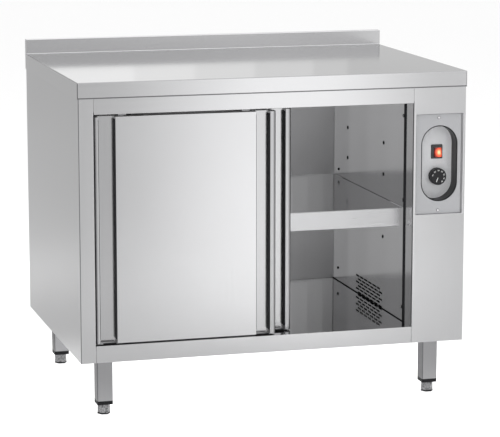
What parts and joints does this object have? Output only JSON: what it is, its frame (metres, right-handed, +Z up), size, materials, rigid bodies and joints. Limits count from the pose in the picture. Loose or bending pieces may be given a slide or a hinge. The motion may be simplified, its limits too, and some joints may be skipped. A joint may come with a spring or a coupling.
{
  "type": "plate warmer cabinet",
  "caption": "Heated stainless plate cabinet with a worktop and rear upstand, overlapping sliding doors, a shelf, a side control column with switch and dial, and levelling feet.",
  "frame": {"origin": "centre of the footprint on the floor under the feet", "axes": "+X to the right seen from the front, +Y to the back, +Z up"},
  "size_m": [1, 0.7, 0.88],
  "materials": {
    "stainless": "satin brushed stainless sheet",
    "door_steel": "satin brushed stainless sheet",
    "chamber_steel": "bright rolled stainless sheet",
    "control_plate": "fine speckled grey powder coat",
    "fastener_steel": "plain zinc-plated steel",
    "black_rubber": "matt black rubber",
    "black_nylon": "matt black nylon",
    "black_plastic": "satin black plastic",
    "white_nylon": "natural nylon",
    "knob_plastic": "satin dark plastic with white marks",
    "red_rocker": "clear red plastic, lit from inside",
    "pale_plastic": "ivory plastic",
    "motor_paint": "dark grey enamel",
    "heater_sheath": "heat-browned steel tube",
    "copper_tube": "bare copper",
    "foot_steel": "dark grey steel with a black rim",
    "board": "moisture-resistant chipboard",
    "insulation": "mineral wool board"
  },
  "bodies": {
    "root": {"worktop": "stainless", "worktop_board": "board", "left_side_panel": "stainless", "right_side_panel": "stainless", "control_column": "stainless", "rear_panel": "stainless", "base_panel": "stainless", "top_front_rail": "stainless", "bottom_front_rail": "stainless", "inner_left_wall": "chamber_steel", "inner_right_wall": "chamber_steel", "inner_back_wall": "chamber_steel", "inner_ceiling": "chamber_steel", "chamber_floor": "chamber_steel", "insulation": "insulation", "jamb_bumpers": "black_rubber", "shelf": "chamber_steel", "shelf_brackets": "chamber_steel", "wall_rivets": "fastener_steel", "door_track": "stainless", "track_stop": "black_rubber", "floor_guide": "black_nylon", "control_plate": "control_plate", "control_tray": "control_plate", "tray_gasket": "black_rubber", "plate_screws": "fastener_steel", "switch_housing": "black_plastic", "thermostat_body": "fastener_steel", "fan_housing": "chamber_steel", "fan_motor": "motor_paint", "heater_element": "heater_sheath", "terminal_block": "pale_plastic", "sensor_bulb": "copper_tube", "cable_gland": "black_nylon", "legs": "stainless", "leg_plugs": "black_plastic"},
    "front_door": {"front_door_skin": "door_steel", "front_door_liner": "chamber_steel", "front_door_core": "insulation", "front_door_grips": "black_rubber", "front_door_hangers": "fastener_steel", "front_door_guides": "black_nylon"},
    "rear_door": {"rear_door_skin": "door_steel", "rear_door_liner": "chamber_steel", "rear_door_core": "insulation", "rear_door_grips": "black_rubber", "rear_door_hangers": "fastener_steel", "rear_door_guides": "black_nylon"},
    "front_door_left_roller": {"front_door_left_roller": "white_nylon"},
    "front_door_right_roller": {"front_door_right_roller": "white_nylon"},
    "rear_door_left_roller": {"rear_door_left_roller": "white_nylon"},
    "rear_door_right_roller": {"rear_door_right_roller": "white_nylon"},
    "rocker": {"switch_rocker": "red_rocker"},
    "knob": {"control_knob": "knob_plastic", "thermostat_shaft": "fastener_steel"},
    "fan_wheel": {"fan_impeller": "fastener_steel"},
    "front_left_foot": {"front_left_foot": "foot_steel"},
    "front_right_foot": {"front_right_foot": "foot_steel"},
    "rear_left_foot": {"rear_left_foot": "foot_steel"},
    "rear_right_foot": {"rear_right_foot": "foot_steel"}
  },
  "joints": [
    {"name": "front_door_slide", "type": "slide", "parent": "root", "child": "front_door", "axis": [1, 0, 0], "range_m": [0, 0.358]},
    {"name": "rear_door_slide", "type": "slide", "parent": "root", "child": "rear_door", "axis": [1, 0, 0], "range_m": [0, 0.305]},
    {"name": "front_door_left_roller_spin", "type": "hinge", "parent": "front_door", "child": "front_door_left_roller", "pos_m": [-0.3845, -0.332, 0.7813], "axis": [0, 1, 0], "range_deg": [0, 1720]},
    {"name": "front_door_right_roller_spin", "type": "hinge", "parent": "front_door", "child": "front_door_right_roller", "pos_m": [-0.0725, -0.332, 0.7813], "axis": [0, 1, 0], "range_deg": [0, 1720]},
    {"name": "rear_door_left_roller_spin", "type": "hinge", "parent": "rear_door", "child": "rear_door_left_roller", "pos_m": [-0.3345, -0.296, 0.7813], "axis": [0, 1, 0], "range_deg": [0, 1720]},
    {"name": "rear_door_right_roller_spin", "type": "hinge", "parent": "rear_door", "child": "rear_door_right_roller", "pos_m": [-0.0225, -0.296, 0.7813], "axis": [0, 1, 0], "range_deg": [0, 1720]},
    {"name": "rocker_tilt", "type": "hinge", "parent": "root", "child": "rocker", "pos_m": [0.437, -0.3092, 0.6305], "axis": [1, 0, 0], "range_deg": [0, 16]},
    {"name": "knob_turn", "type": "hinge", "parent": "root", "child": "knob", "pos_m": [0.437, -0.3135, 0.568], "axis": [0, -1, 0], "range_deg": [-76, 202]},
    {"name": "fan_spin", "type": "hinge", "parent": "root", "child": "fan_wheel", "pos_m": [0.41, -0.011, 0.214], "axis": [1, 0, 0], "continuous": true},
    {"name": "front_left_foot_screw", "type": "slide", "parent": "root", "child": "front_left_foot", "axis": [0, 0, -1], "range_m": [0, 0.05]},
    {"name": "front_right_foot_screw", "type": "slide", "parent": "root", "child": "front_right_foot", "axis": [0, 0, -1], "range_m": [0, 0.05]},
    {"name": "rear_left_foot_screw", "type": "slide", "parent": "root", "child": "rear_left_foot", "axis": [0, 0, -1], "range_m": [0, 0.05]},
    {"name": "rear_right_foot_screw", "type": "slide", "parent": "root", "child": "rear_right_foot", "axis": [0, 0, -1], "range_m": [0, 0.05]}
  ],
  "couplings": [
    {"joint": "front_door_left_roller_spin", "follows": "front_door_slide", "rad_per_m": 83.333},
    {"joint": "front_door_right_roller_spin", "follows": "front_door_slide", "rad_per_m": 83.333},
    {"joint": "rear_door_left_roller_spin", "follows": "rear_door_slide", "rad_per_m": 83.333},
    {"joint": "rear_door_right_roller_spin", "follows": "rear_door_slide", "rad_per_m": 83.333}
  ]
}
